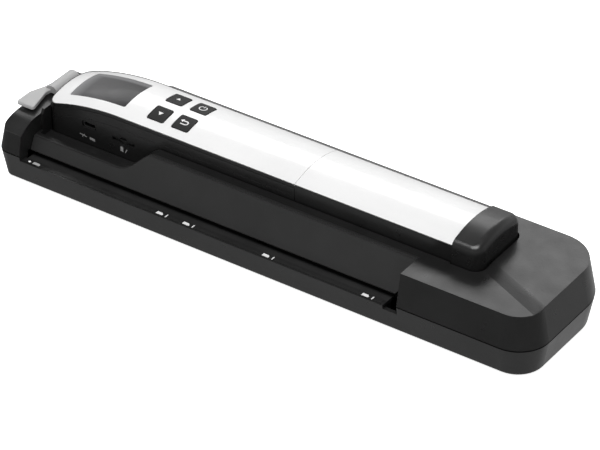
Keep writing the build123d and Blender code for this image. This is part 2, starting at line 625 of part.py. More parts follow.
with BuildPart() as lever_hinge_pin:
    add(rod_y(*LEVER_PIN_Y, *LEVER_AXIS, 1.0))
save(lever_hinge_pin.part, "lever_hinge_pin")

SPRING_Y = (LEVER_BAR_Y[1] + 0.5, LEVER_WELL_Y[1] - 0.4)
spring_line = Helix(pitch=0.62, height=SPRING_Y[1] - SPRING_Y[0] - 0.5, radius=1.6,
                    center=(LEVER_AXIS[0], SPRING_Y[0] + 0.25, LEVER_AXIS[1]), direction=(0, 1, 0))
with BuildPart() as lever_spring:
    with BuildSketch(Plane(origin=spring_line @ 0, z_dir=spring_line % 0)):
        Circle(0.22)
    sweep(path=spring_line)
save(lever_spring.part, "lever_spring")


# ================= wand: shared shapes =================
def wand_path(x_end):
    """Edge line of the wand's top: level from the right, then an arc down to the nose."""
    with BuildLine() as path:
        Line((x_end, WAND_Y, COVER_EDGE_Z), (NOSE_START, WAND_Y, COVER_EDGE_Z))
        centre = Vector(NOSE_START, WAND_Y, COVER_EDGE_Z - NOSE_RADIUS)
        angle = math.radians(28)
        half = angle / 2
        ThreePointArc(
            (NOSE_START, WAND_Y, COVER_EDGE_Z),
            centre + Vector(-NOSE_RADIUS * math.sin(half), 0, NOSE_RADIUS * math.cos(half)),
            centre + Vector(-NOSE_RADIUS * math.sin(angle), 0, NOSE_RADIUS * math.cos(angle)))
    return path.wires()[0]


def swept_band(low, high, half, x_end=130.0):
    """A band that follows the wand's top line, between two offsets from it."""
    with BuildPart() as solid:
        with BuildSketch(Plane(origin=(x_end, WAND_Y, COVER_EDGE_Z), x_dir=(0, 1, 0), z_dir=(-1, 0, 0))):
            with Locations((0, -(low + high) / 2)):
                Rectangle(2 * half, high - low)
        sweep(path=wand_path(x_end))
    return solid.part


def swept_crown(rise, half, foot, x_end):
    """A crowned strip, flat below and round above, that follows the wand's top line."""
    sag = CROWN_RADIUS - math.sqrt(CROWN_RADIUS ** 2 - half ** 2)
    with BuildPart() as solid:
        with BuildSketch(Plane(origin=(x_end, WAND_Y, COVER_EDGE_Z), x_dir=(0, 1, 0), z_dir=(-1, 0, 0))):
            with BuildLine():
                Polyline((-half, -rise), (-half, -foot), (half, -foot), (half, -rise))
                ThreePointArc((half, -rise), (0, -rise - sag), (-half, -rise))
            make_face()
        sweep(path=wand_path(x_end))
    return solid.part


def wand_outline(inset, x0=WAND_LEFT, x1=WAND_RIGHT):
    """Wand footprint between two ends, drawn in the open sketch."""
    with Locations(((x0 + x1) / 2, WAND_Y)):
        Rectangle(x1 - x0 - 2 * inset, 2 * (WAND_HALF - inset))


def wand_prism(inset, z0, z1, x0=WAND_LEFT, x1=WAND_RIGHT, left=6.0, right=6.0):
    """Upright prism over the wand's footprint."""
    with BuildPart() as solid:
        with BuildSketch(Plane.XY.offset(z0)) as base:
            wand_outline(inset, x0, x1)
            fillet(base.vertices().group_by(Axis.X)[0], max(left - inset, 0.4))
            fillet(base.vertices().group_by(Axis.X)[-1], max(right - inset, 0.4))
        extrude(amount=z1 - z0)
    return solid.part


# ================= wand shells =================
USB_SPOT = (-116.3, 31.8)
CARD_SPOT = (-95.0, 30.0)
BUTTON_X = (-79.5, -64.7)
BUTTON_Y = (WAND_Y - 8.0, WAND_Y + 7.6)
BUTTON_SIZE = 10.0
LCD_X = (-133.0, -98.5)
LCD_HALF = 12.0

with BuildPart() as wand_lower_case:
    add(wand_prism(0, WAND_BASE, 60))
    add(swept_band(FRAME_FOOT, 40, 30), mode=Mode.SUBTRACT)
    bottom = wand_lower_case.faces().sort_by(Axis.Z)[0]
    fillet(bottom.edges(), 2.0)
    add(wand_prism(1.8, WAND_BASE + 1.8, 60), mode=Mode.SUBTRACT)
    # bay for the battery pack
    add(block(BATTERY_SEAM - 0.1, 140, -60, 60, BATTERY_FLOOR, 60), mode=Mode.SUBTRACT)
    # scan window and roller slots in the floor
    add(block(-140, 76, WAND_Y - 5.6, WAND_Y + 5.6, 0, WAND_BASE + 4), mode=Mode.SUBTRACT)
    for y in ROLLER_Y:
        for x in ROLLER_X:
            half = TYRE_LENGTH / 2 + 0.6
            add(block(x - half, x + half, y - 3.3, y + 3.3, 0, WAND_BASE + 4), mode=Mode.SUBTRACT)
        add(rod_x(-137, 77, y, WAND_SHAFT_Z, 1.5), mode=Mode.SUBTRACT)
    usb_x, usb_z = USB_SPOT
    add(block(usb_x - 4.3, usb_x + 4.3, -20, WAND_Y, usb_z - 1.7, usb_z + 1.7), mode=Mode.SUBTRACT)
    card_x, card_z = CARD_SPOT
    add(block(card_x - 6.8, card_x + 6.8, -20, -12.4, card_z - 1.1, card_z + 1.1), mode=Mode.SUBTRACT)
    add(block(card_x - 6.2, card_x + 6.2, -20, WAND_Y, card_z - 0.8, card_z + 0.8), mode=Mode.SUBTRACT)
    add(rod_y(-20, -12.4, card_x, card_z, 2.6), mode=Mode.SUBTRACT)
save(wand_lower_case.part, "wand_lower_case")

with BuildPart() as wand_side_frame:
    add(wand_prism(0.15, 20, 60, x1=CAP_START - 0.1, right=0.6))
    add(wand_prism(2.0, 10, 70, x1=CAP_START + 8, right=2.4), mode=Mode.SUBTRACT)
    add(swept_band(FRAME_TOP, 40, 30), mode=Mode.SUBTRACT)
    add(block(BATTERY_SEAM - 0.1, 130, -60, 60, 0, 90), mode=Mode.SUBTRACT)
    keep = swept_band(FRAME_FOOT, 40, 30)
    add(keep, mode=Mode.INTERSECT)
save(wand_side_frame.part, "wand_side_frame")

with BuildPart() as cover_gasket:
    add(wand_prism(0.4, 20, 60, x1=CAP_START - 0.1, right=0.8))
    add(wand_prism(2.2, 10, 70, x1=CAP_START - 2, right=2.6), mode=Mode.SUBTRACT)
    add(swept_band(-COVER_LIP, 40, 30), mode=Mode.SUBTRACT)
    add(swept_band(FRAME_TOP, 40, 30), mode=Mode.INTERSECT)
    add(block(BATTERY_SEAM - 0.1, 130, -60, 60, 0, 90), mode=Mode.SUBTRACT)
save(cover_gasket.part, "cover_gasket")

lcd_pocket = block(*LCD_X, WAND_Y - LCD_HALF, WAND_Y + LCD_HALF, 30, 70, round_z=1.0)
button_spots = [(x, y) for x in BUTTON_X for y in BUTTON_Y]

with BuildPart() as wand_top_cover:
    add(swept_crown(0, COVER_HALF, -COVER_LIP, 130.0))
    add(swept_crown(-1.7, COVER_HALF - 1.7, -COVER_LIP - 1, 135.0), mode=Mode.SUBTRACT)
    add(wand_prism(WAND_HALF - COVER_HALF, 20, 60, x0=WAND_LEFT + 0.8), mode=Mode.INTERSECT)
    add(block(BATTERY_SEAM - 0.1, 140, -60, 60, 0, 90), mode=Mode.SUBTRACT)
    add(lcd_pocket, mode=Mode.SUBTRACT)
    for x, y in button_spots:
        reach = BUTTON_SIZE / 2 + 0.2
        add(block(x - reach, x + reach, y - reach, y + reach, 30, 70, round_z=1.2), mode=Mode.SUBTRACT)
save(wand_top_cover.part, "wand_top_cover")

with BuildPart() as battery_pack_cover:
    add(swept_crown(0, COVER_HALF, -COVER_LIP, 130.0))
    add(swept_crown(-1.7, COVER_HALF - 1.7, -COVER_LIP - 1, 135.0), mode=Mode.SUBTRACT)
    add(block(BATTERY_SEAM + 0.1, CAP_START - 0.1, -60, 60, 0, 90), mode=Mode.INTERSECT)
save(battery_pack_cover.part, "battery_pack_cover")

with BuildPart() as battery_pack_case:
    y0, y1 = WAND_Y - WAND_HALF + 0.15, WAND_Y + WAND_HALF - 0.15
    top = COVER_EDGE_Z - COVER_LIP
    add(block(BATTERY_SEAM + 0.1, CAP_START - 0.1, y0, y1, BATTERY_FLOOR + 0.1, top))
    inner = block(BATTERY_SEAM + 1.6, CAP_START - 1.6, y0 + 1.6, y1 - 1.6, BATTERY_FLOOR + 1.6, 60)
    add(inner, mode=Mode.SUBTRACT)
save(battery_pack_case.part, "battery_pack_case")

with BuildPart() as battery_cell:
    add(block(BATTERY_SEAM + 6, CAP_START - 8, WAND_Y - 14, WAND_Y + 14, BATTERY_FLOOR + 1.6, 41.5))
    fillet(battery_cell.edges().filter_by(Axis.X), 3.5)
save(battery_cell.part, "battery_cell")

CAP_RISE = 2.0
CAP_CROWN = 5.8
with BuildPart() as end_cap:
    side = WAND_HALF + CAP_WIDER
    with BuildSketch(Plane.YZ.offset(CAP_START + 0.1)):
        with BuildLine():
            Polyline((WAND_Y + side, COVER_EDGE_Z + CAP_RISE), (WAND_Y + side, BATTERY_FLOOR + 0.1),
                     (WAND_Y - side, BATTERY_FLOOR + 0.1), (WAND_Y - side, COVER_EDGE_Z + CAP_RISE))
            ThreePointArc((WAND_Y - side, COVER_EDGE_Z + CAP_RISE), (WAND_Y, COVER_EDGE_Z + CAP_CROWN),
                          (WAND_Y + side, COVER_EDGE_Z + CAP_RISE))
        make_face()
    extrude(amount=WAND_RIGHT + CAP_WIDER - 0.4 - CAP_START - 0.1)
    fillet(end_cap.edges().filter_by(Axis.Z).group_by(Axis.X)[-1], 6.0)
    top_line = [e for e in end_cap.edges() if e.center().Z > COVER_EDGE_Z and e.center().X > CAP_START + 1]
    fillet(top_line, 4.6)
    add(block(CAP_START, WAND_RIGHT - 2.2, WAND_Y - 16, WAND_Y + 16, 0, COVER_EDGE_Z - 1), mode=Mode.SUBTRACT)
save(end_cap.part, "end_cap")


# ================= wand: screen, buttons and insides =================
def crown_slab(low, high, outline):
    """The part of an upright prism that lies between two heights above the crowned top."""
    with BuildPart() as solid:
        add(swept_crown(high, COVER_HALF, -9, 130.0))
        add(swept_crown(low, COVER_HALF, -10, 135.0), mode=Mode.SUBTRACT)
        add(outline, mode=Mode.INTERSECT)
    return solid.part


lcd_glass = crown_slab(-1.5, -0.15, block(LCD_X[0] + 0.15, LCD_X[1] - 0.15, WAND_Y - LCD_HALF + 0.15,
                                         WAND_Y + LCD_HALF - 0.15, 20, 70, round_z=0.9))
save(lcd_glass, "lcd_window")

lcd_module = crown_slab(-4.4, -1.8, block(LCD_X[0] + 1.5, LCD_X[1] - 1.5, WAND_Y - 10.2, WAND_Y + 10.2, 20, 70))
save(lcd_module, "lcd_module")

BUTTON_NAMES = {"back": (1, 0), "ok": (1, 1), "down": (0, 0), "up": (0, 1)}
for name, (column, row) in BUTTON_NAMES.items():
    x, y = BUTTON_X[column], BUTTON_Y[row]
    half = BUTTON_SIZE / 2
    key = crown_slab(-3.4, 0.35, block(x - half, x + half, y - half, y + half, 20, 70, round_z=1.1))
    save(key, f"button_{name}")

with BuildPart() as keypad_membrane:
    centre_x = sum(BUTTON_X) / 2
    pad = block(centre_x - 14, centre_x + 14, WAND_Y - 15, WAND_Y + 15, 38.8, 39.6)
    add(pad)
    for x, y in button_spots:
        add(rod_z(x, y, 39.6, 40.2, 1.6))
save(keypad_membrane.part, "keypad_membrane")

with BuildPart() as wand_circuit_board:
    add(block(-128, 3, WAND_Y - 11, WAND_Y + 15, 33.9, 35.1))
    add(block(-108, -96, WAND_Y + 1, WAND_Y + 12, 32.3, 33.9))
    add(block(-70, -58, WAND_Y - 6, WAND_Y + 6, 32.5, 33.9))
    add(block(-40, -34, WAND_Y + 2, WAND_Y + 8, 32.7, 33.9))
    add(block(-20, -10, WAND_Y - 4, WAND_Y + 8, 35.1, 37.0))
    fillet(wand_circuit_board.edges().filter_by(Axis.Z).group_by(Axis.X)[0], 1.5)
save(wand_circuit_board.part, "wand_circuit_board")

usb_x, usb_z = USB_SPOT
with BuildPart() as mini_usb_port:
    with BuildSketch(Plane.XZ.offset(13.2)) as shell:
        with Locations((usb_x, usb_z)):
            Rectangle(7.6, 3.1)
        chamfer(shell.vertices().group_by(Axis.Y)[0], 0.9)
        offset(amount=-0.4, mode=Mode.SUBTRACT)
    extrude(amount=-9.0)
    add(block(usb_x - 3.7, usb_x + 3.7, -5.0, -4.2, usb_z - 1.0, usb_z + 1.4))
    add(block(usb_x - 2.2, usb_x + 2.2, -12.0, -4.2, usb_z - 0.05, usb_z + 0.55))
save(mini_usb_port.part, "mini_usb_port")

card_x, card_z = CARD_SPOT
with BuildPart() as card_socket:
    add(block(card_x - 6.9, card_x + 6.9, -11.6, 4.0, card_z - 1.1, card_z + 1.2))
    add(block(card_x - 5.8, card_x + 5.8, -30, 2.8, card_z - 0.6, card_z + 0.6), mode=Mode.SUBTRACT)
save(card_socket.part, "card_socket")

with BuildPart() as memory_card:
    add(block(card_x - 5.5, card_x + 5.5, -12.9, 2.0, card_z - 0.5, card_z + 0.5))
    fillet(memory_card.edges().filter_by(Axis.Z), 0.8)
    add(block(card_x + 3.4, card_x + 9, -4, 0.5, card_z - 2, card_z + 2), mode=Mode.SUBTRACT)
save(memory_card.part, "memory_card")

with BuildPart() as sensor_bar:
    add(block(-140.5, 76.5, WAND_Y - 5.2, WAND_Y + 5.2, WAND_BASE + 2.2, WAND_BASE + 8.4))
    add(block(-138.5, 74.5, WAND_Y - 3.0, WAND_Y + 3.0, WAND_BASE, WAND_BASE + 5), mode=Mode.SUBTRACT)
    add(block(-138.5, 74.5, WAND_Y - 0.6, WAND_Y + 0.6, WAND_BASE + 3.4, WAND_BASE + 5.5))
save(sensor_bar.part, "sensor_bar")

with BuildPart() as scan_glass:
    add(block(-139.8, 75.8, WAND_Y - 5.4, WAND_Y + 5.4, WAND_BASE + 0.2, WAND_BASE + 2.1))
save(scan_glass.part, "scan_glass")

for name, y in zip(("front", "rear"), ROLLER_Y):
    with BuildPart() as shaft:
        add(rod_x(-136, 76, y, WAND_SHAFT_Z, 1.2))
    save(shaft.part, f"wand_{name}_roller_shaft")
    with BuildPart() as tyres:
        for x in ROLLER_X:
            add(rod_x(x - TYRE_LENGTH / 2, x + TYRE_LENGTH / 2, y, WAND_SHAFT_Z, WAND_TYRE_RADIUS, 1.2))
    save(tyres.part, f"wand_{name}_roller_tyres")

WAND_SCREWS = [(x, y) for x in (-138.5, 106) for y in (WAND_Y - 14, WAND_Y + 14)]
with BuildPart() as wand_screws:
    for x, y in WAND_SCREWS:
        add(rod_z(x, y, WAND_BASE + 1.85, WAND_BASE + 9.0, 0.9))
save(wand_screws.part, "wand_screws")
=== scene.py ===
import json
import math
import bmesh
import bpy
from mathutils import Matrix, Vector
from mathutils.bvhtree import BVHTree


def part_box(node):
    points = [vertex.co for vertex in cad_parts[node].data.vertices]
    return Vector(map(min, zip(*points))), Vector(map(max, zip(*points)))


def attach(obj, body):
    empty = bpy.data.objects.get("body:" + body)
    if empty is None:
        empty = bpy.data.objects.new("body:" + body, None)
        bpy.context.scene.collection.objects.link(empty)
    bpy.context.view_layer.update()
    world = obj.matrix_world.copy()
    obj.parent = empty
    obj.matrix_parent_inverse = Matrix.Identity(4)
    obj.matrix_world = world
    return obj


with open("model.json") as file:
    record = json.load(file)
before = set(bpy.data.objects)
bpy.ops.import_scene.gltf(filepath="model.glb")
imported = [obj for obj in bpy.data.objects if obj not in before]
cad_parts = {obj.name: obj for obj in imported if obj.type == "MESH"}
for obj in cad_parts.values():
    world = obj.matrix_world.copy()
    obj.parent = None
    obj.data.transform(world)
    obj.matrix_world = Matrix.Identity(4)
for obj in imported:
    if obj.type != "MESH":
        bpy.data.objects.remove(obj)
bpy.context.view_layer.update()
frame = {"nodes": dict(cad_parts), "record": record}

NODES = frame["nodes"]
SLOT_OF = {entry["node"]: entry["material_slot"] for entry in frame["record"]["subparts"]}
MM = 0.001


# ---------------------------------------------------------------- camera, floor and light
AIM = Vector((0.0100, -0.0119, 0.0200))
AZIMUTH = math.radians(34.54)
ELEVATION = math.radians(34.67)
DISTANCE = 1.7606
LENS = 218.1
FLOOR_REACH = 6.0
# world brightness, as (direction component, brightness)
WORLD_BY_HEIGHT = (
    (-1.0, 0.45), (-0.6, 0.36), (-0.35, 0.15), (0.0, 0.1), (0.33, 0.42), (0.6, 0.12), (0.95, 0.1))
WORLD_BY_DEPTH = ((-0.6, 0.0), (0.35, 0.02), (0.7, 0.26), (1.0, 0.4))


def add_camera():
    """Long lens from the front right, looking down on the dock."""
    data = bpy.data.cameras.new("studio_camera")
    data.lens = LENS
    data.sensor_width = 36.0
    data.clip_end = 50.0
    camera = bpy.data.objects.new("studio_camera", data)
    away = Vector((math.sin(AZIMUTH) * math.cos(ELEVATION), -math.cos(AZIMUTH) * math.cos(ELEVATION),
                   math.sin(ELEVATION)))
    camera.location = AIM + away * DISTANCE
    camera.rotation_euler = (-away).to_track_quat("-Z", "Y").to_euler()
    bpy.context.scene.collection.objects.link(camera)
    bpy.context.scene.camera = camera


def add_area_light(name, place, size, power):
    """A rectangular soft box at a place, turned to face the origin."""
    data = bpy.data.lights.new(name, "AREA")
    data.shape = "RECTANGLE"
    data.size, data.size_y = size
    data.energy = power
    light = bpy.data.objects.new(name, data)
    light.location = Vector(place)
    light.rotation_euler = (-Vector(place)).to_track_quat("-Z", "Y").to_euler()
    bpy.context.scene.collection.objects.link(light)


def world_ramp(tree, source, steps):
    """Brightness by one direction component, as a smooth ramp of (component, brightness) steps."""
    ramp = tree.nodes.new("ShaderNodeValToRGB")
    ramp.color_ramp.interpolation = "EASE"
    while len(ramp.color_ramp.elements) < len(steps):
        ramp.color_ramp.elements.new(0.5)
    for element, (at, level) in zip(ramp.color_ramp.elements, steps):
        element.position = (at + 1) / 2
        element.color = (level, level, level, 1.0)
    shift = tree.nodes.new("ShaderNodeMath")
    shift.operation = "MULTIPLY_ADD"
    shift.inputs[1].default_value = 0.5
    shift.inputs[2].default_value = 0.5
    tree.links.new(source, shift.inputs[0])
    tree.links.new(shift.outputs["Value"], ramp.inputs["Fac"])
    return ramp.outputs["Color"]


def studio_world():
    """Soft grey below, behind and a third of the way up; dark near the horizon in front, and overhead."""
    world = bpy.data.worlds.new("studio_world")
    world.use_nodes = True
    tree = world.node_tree
    split = tree.nodes.new("ShaderNodeSeparateXYZ")
    tree.links.new(tree.nodes.new("ShaderNodeTexCoord").outputs["Generated"], split.inputs["Vector"])
    upright = world_ramp(tree, split.outputs["Z"], WORLD_BY_HEIGHT)
    depth = world_ramp(tree, split.outputs["Y"], WORLD_BY_DEPTH)
    total = tree.nodes.new("ShaderNodeMath")
    tree.links.new(upright, total.inputs[0])
    tree.links.new(depth, total.inputs[1])
    tree.links.new(total.outputs["Value"], tree.nodes["Background"].inputs["Strength"])
    tree.nodes["Background"].inputs["Color"].default_value = (1.0, 1.0, 1.0, 1.0)
    bpy.context.scene.world = world


def add_studio():
    """White floor, studio world and two soft boxes: one overhead in front, one at the back left."""
    studio_world()
    bpy.context.scene.view_settings.view_transform = "Standard"
    add_area_light("overhead_box", (0.1, -0.35, 1.35), (1.2, 0.7), 19)
    add_area_light("back_box", (-0.75, 1.05, 0.95), (1.3, 0.5), 5.5)
    mesh = bpy.data.meshes.new("studio_floor")
    corners = [(x * FLOOR_REACH, y * FLOOR_REACH, 0) for x, y in ((-1, -1), (1, -1), (1, 1), (-1, 1))]
    mesh.from_pydata(corners, [], [(0, 1, 2, 3)])
    floor = bpy.data.objects.new("studio_floor", mesh)
    bpy.context.scene.collection.objects.link(floor)
    floor.data.materials.append(floor_material())
    floor.visible_glossy = False


# ---------------------------------------------------------------- materials
class Nodes:
    """Short names for building one node material."""

    def __init__(self, name):
        self.material = bpy.data.materials.new(name)
        self.material.use_nodes = True
        self.tree = self.material.node_tree
        self.shader = self.tree.nodes["Principled BSDF"]
        self.position = self.tree.nodes.new("ShaderNodeTexCoord").outputs["Object"]

    def link(self, source, target):
        self.tree.links.new(source, target)

    def noise(self, scale, detail=3.0, rough=0.55, stretch=None):
        """Noise by position, in cycles per metre, stretched along an axis if asked."""
        node = self.tree.nodes.new("ShaderNodeTexNoise")
        node.inputs["Scale"].default_value = scale
        node.inputs["Detail"].default_value = detail
        node.inputs["Roughness"].default_value = rough
        place = self.position
        if stretch:
            mapping = self.tree.nodes.new("ShaderNodeMapping")
            mapping.inputs["Scale"].default_value = stretch
            self.link(self.position, mapping.inputs["Vector"])
            place = mapping.outputs["Vector"]
        self.link(place, node.inputs["Vector"])
        return node.outputs["Fac"]

    def cells(self, scale):
        """Distance to the nearest point of a scatter, in cells per metre."""
        node = self.tree.nodes.new("ShaderNodeTexVoronoi")
        node.inputs["Scale"].default_value = scale
        self.link(self.position, node.inputs["Vector"])
        return node.outputs["Distance"]

    def spread(self, value, low, high, start=0.3, end=0.7):
        """Maps a 0 to 1 value onto a range."""
        node = self.tree.nodes.new("ShaderNodeMapRange")
        node.inputs["From Min"].default_value = start
        node.inputs["From Max"].default_value = end
        node.inputs["To Min"].default_value = low
        node.inputs["To Max"].default_value = high
        self.link(value, node.inputs["Value"])
        return node.outputs["Result"]

    def shades(self, value, dark, light):
        """Blends two colours by a value."""
        node = self.tree.nodes.new("ShaderNodeValToRGB")
        node.color_ramp.elements[0].position = 0.3
        node.color_ramp.elements[0].color = (*dark, 1.0)
        node.color_ramp.elements[1].position = 0.7
        node.color_ramp.elements[1].color = (*light, 1.0)
        self.link(value, node.inputs["Fac"])
        return node.outputs["Color"]

    def bump(self, value, height, strength=1.0, below=None):
        """Raises the surface by a value; height is in metres."""
        node = self.tree.nodes.new("ShaderNodeBump")
        node.inputs["Distance"].default_value = height
        node.inputs["Strength"].default_value = strength
        self.link(value, node.inputs["Height"])
        if below is not None:
            self.link(below, node.inputs["Normal"])
        return node.outputs["Normal"]


def tone(level):
    """A grey of one level."""
    return (level, level, level)


def moulded(name, dark, light, rough, grain, grain_height, sheen=0.5, coat=0.0):
    """Moulded plastic: faint shade changes, spark-eroded grain and a slight ripple."""
    kit = Nodes(name)
    kit.link(kit.shades(kit.noise(28, 4), dark, light), kit.shader.inputs["Base Color"])
    kit.link(kit.spread(kit.noise(90, 4), rough - 0.04, rough + 0.05), kit.shader.inputs["Roughness"])
    ripple = kit.bump(kit.noise(35, 1), 0.00003, 0.5)
    texture = kit.bump(kit.noise(grain, 2, 0.7), grain_height, 0.9, ripple)
    kit.link(texture, kit.shader.inputs["Normal"])
    kit.shader.inputs["Specular IOR Level"].default_value = sheen
    kit.shader.inputs["Coat Weight"].default_value = coat
    kit.shader.inputs["Coat Roughness"].default_value = 0.08
    return kit.material


def metal(name, dark, light, rough, stretch):
    """Metal with fine lines along one axis."""
    kit = Nodes(name)
    lines = kit.noise(900, 3, 0.6, stretch)
    kit.link(kit.shades(lines, dark, light), kit.shader.inputs["Base Color"])
    kit.link(kit.spread(lines, rough - 0.06, rough + 0.08), kit.shader.inputs["Roughness"])
    kit.link(kit.bump(lines, 0.00001, 0.7), kit.shader.inputs["Normal"])
    kit.shader.inputs["Metallic"].default_value = 1.0
    return kit.material


def rubber(name, level):
    """Matte rubber with a fine pebble."""
    kit = Nodes(name)
    kit.link(kit.shades(kit.noise(60, 4), tone(level), tone(level * 1.5)), kit.shader.inputs["Base Color"])
    kit.link(kit.spread(kit.noise(200, 2), 0.68, 0.82), kit.shader.inputs["Roughness"])
    kit.link(kit.bump(kit.cells(2600), 0.00004, 0.6), kit.shader.inputs["Normal"])
    kit.shader.inputs["Specular IOR Level"].default_value = 0.35
    return kit.material


def clear_glass(name, tint):
    """Clear glass with a trace of dust."""
    kit = Nodes(name)
    dust = kit.noise(300, 4)
    kit.link(kit.spread(dust, 0.02, 0.08), kit.shader.inputs["Roughness"])
    kit.link(kit.shades(dust, tint, tone(0.95)), kit.shader.inputs["Base Color"])
    kit.shader.inputs["Transmission Weight"].default_value = 0.9
    kit.shader.inputs["IOR"].default_value = 1.5
    return kit.material


def screen_glass(name):
    """Display window: dark grey, with painted light: a lighter soft band (a painted highlight) along its far
    and nose edges, and a painted brightening toward the nose.
    """
    kit = Nodes(name)
    low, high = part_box("lcd_window")
    split = kit.tree.nodes.new("ShaderNodeSeparateXYZ")
    kit.link(kit.position, split.inputs["Vector"])
    # painted highlight: the far and nose edges are lightened in the base colour
    far = kit.spread(split.outputs["Y"], 0.0, 1.0, high[1] - 4.5 * MM, high[1] - 2.5 * MM)
    nose = kit.spread(split.outputs["X"], 1.0, 0.0, low[0] + 1.0 * MM, low[0] + 7.0 * MM)
    # painted light: the glass is made lighter toward the nose
    painted_light_gradient = kit.spread(split.outputs["X"], 0.0, 0.35, high[0], low[0])
    painted_highlight_band = kit.tree.nodes.new("ShaderNodeMath")
    painted_highlight_band.operation = "MAXIMUM"
    kit.link(far, painted_highlight_band.inputs[0])
    kit.link(nose, painted_highlight_band.inputs[1])
    total = kit.tree.nodes.new("ShaderNodeMath")
    total.operation = "MULTIPLY_ADD"
    total.inputs[1].default_value = 0.6
    kit.link(painted_highlight_band.outputs["Value"], total.inputs[0])
    kit.link(painted_light_gradient, total.inputs[2])
    ramp = kit.tree.nodes.new("ShaderNodeValToRGB")
    ramp.color_ramp.elements[0].color = (0.014, 0.0135, 0.0145, 1.0)
    # the lighter colour is the painted highlight
    ramp.color_ramp.elements[1].color = (0.2, 0.2, 0.205, 1.0)
    kit.link(total.outputs["Value"], ramp.inputs["Fac"])
    kit.link(ramp.outputs["Color"], kit.shader.inputs["Base Color"])
    kit.link(kit.spread(kit.noise(150, 3), 0.3, 0.38), kit.shader.inputs["Roughness"])
    kit.link(kit.bump(kit.noise(40, 1), 0.00001, 0.3), kit.shader.inputs["Normal"])
    kit.shader.inputs["Specular IOR Level"].default_value = 0.35
    kit.shader.inputs["Coat Weight"].default_value = 0.1
    kit.shader.inputs["Coat Roughness"].default_value = 0.12
    return kit.material


def circuit_green(name):
    """Solder mask with faint copper tracks below it."""
    kit = Nodes(name)
    tracks = kit.noise(260, 1, 0.3, (1.0, 3.0, 1.0))
    kit.link(kit.shades(tracks, (0.01, 0.09, 0.035), (0.03, 0.19, 0.08)), kit.shader.inputs["Base Color"])
    kit.link(kit.bump(tracks, 0.00003, 0.6), kit.shader.inputs["Normal"])
    kit.shader.inputs["Roughness"].default_value = 0.3
    return kit.material


def floor_material():
    """Plain pale studio floor."""
    kit = Nodes("studio_white")
    kit.link(kit.shades(kit.noise(2, 1), tone(0.86), tone(0.88)), kit.shader.inputs["Base Color"])
    kit.shader.inputs["Roughness"].default_value = 0.9
    kit.shader.inputs["Specular IOR Level"].default_value = 0.1
    kit.shader.inputs["Emission Color"].default_value = (1.0, 1.0, 1.0, 1.0)
    kit.shader.inputs["Emission Strength"].default_value = 0.9
    return kit.material


MATERIALS = {
    "dock_charcoal": moulded("dock_charcoal", tone(0.008), tone(0.011), 0.31, 1500, 0.00003),
    "entry_panel": moulded("entry_panel", tone(0.016), tone(0.021), 0.42, 1700, 0.00003),
    "scale_black": moulded("scale_black", tone(0.008), tone(0.012), 0.38, 1200, 0.00002),
    "light_pipe": moulded("light_pipe", tone(0.82), tone(0.9), 0.2, 500, 0.00001),
    "inner_black": moulded("inner_black", tone(0.010), tone(0.016), 0.5, 900, 0.00004),
    "wand_black": moulded("wand_black", tone(0.010), tone(0.014), 0.3, 1600, 0.000008, 0.5, 0.1),
    "wand_white": moulded("wand_white", tone(0.80), tone(0.84), 0.16, 700, 0.000003, 0.5, 0.5),
    "lever_grey": moulded("lever_grey", tone(0.37), tone(0.41), 0.42, 1100, 0.00002),
    "screen_glass": screen_glass("screen_glass"),
    "display": moulded("display", tone(0.03), tone(0.05), 0.35, 900, 0.00001),
    "keys": moulded("keys", tone(0.010), tone(0.013), 0.5, 1500, 0.00002, 0.25),
    "rubber": rubber("rubber", 0.014),
    "silicone": rubber("silicone", 0.2),
    "steel": metal("steel", tone(0.48), tone(0.68), 0.24, (1.0, 14.0, 14.0)),
    "zinc_plate": metal("zinc_plate", (0.46, 0.48, 0.5), (0.6, 0.62, 0.64), 0.36, (1.0, 5.0, 1.0)),
    "bronze": metal("bronze", (0.42, 0.27, 0.12), (0.62, 0.42, 0.2), 0.34, (8.0, 1.0, 1.0)),
    "acetal": moulded("acetal", tone(0.7), tone(0.78), 0.4, 800, 0.00002),
    "board_green": circuit_green("board_green"),
    "socket_metal": metal("socket_metal", tone(0.22), tone(0.34), 0.36, (1.0, 8.0, 1.0)),
    "cell_wrap": moulded("cell_wrap", (0.03, 0.08, 0.24), (0.04, 0.11, 0.3), 0.3, 600, 0.00001),
    "glass_clear": clear_glass("glass_clear", (0.8, 0.86, 0.86)),
}


def dress(obj, name):
    """Gives an object one material."""
    obj.data.materials.clear()
    obj.data.materials.append(MATERIALS[name])


# width of the rounded edges, in millimetres
SOFT_EDGES = {
    "dock_top_shell": 0.9, "dock_bottom_shell": 0.3, "front_guide_panel": 0.25, "release_lever": 0.3,
    "end_cap": 0.25, "wand_side_frame": 0.2, "battery_pack_case": 0.2, "wand_top_cover": 0.15,
    "battery_pack_cover": 0.15, "lcd_window": 0.12, "button_up": 0.35, "button_down": 0.35,
    "button_ok": 0.35, "button_back": 0.35, "wand_lower_case": 0.2, "paper_platen": 0.2, "memory_card": 0.1,
}


def finish_cad_nodes():
    """Small edge rounds and a material on every CAD node."""
    for name, obj in NODES.items():
        dress(obj, SLOT_OF[name])
        if name in SOFT_EDGES:
            bevel = obj.modifiers.new("edge_round", "BEVEL")
            bevel.width = SOFT_EDGES[name] * MM
            bevel.segments = 2
            bevel.limit_method = "ANGLE"
            bevel.angle_limit = math.radians(32)
            bevel.use_clamp_overlap = True
            bevel.harden_normals = False


# ---------------------------------------------------------------- printed marks and fine lines
def search_tree(name):
    """Search tree over the faces of one CAD node."""
    mesh = NODES[name].data
    corners = [vertex.co.copy() for vertex in mesh.vertices]
    return BVHTree.FromPolygons(corners, [tuple(face.vertices) for face in mesh.polygons])


def shot(tree, start, way):
    """Where a ray from a point first meets a search tree, or None."""
    return tree.ray_cast(Vector(start), Vector(way))[0]


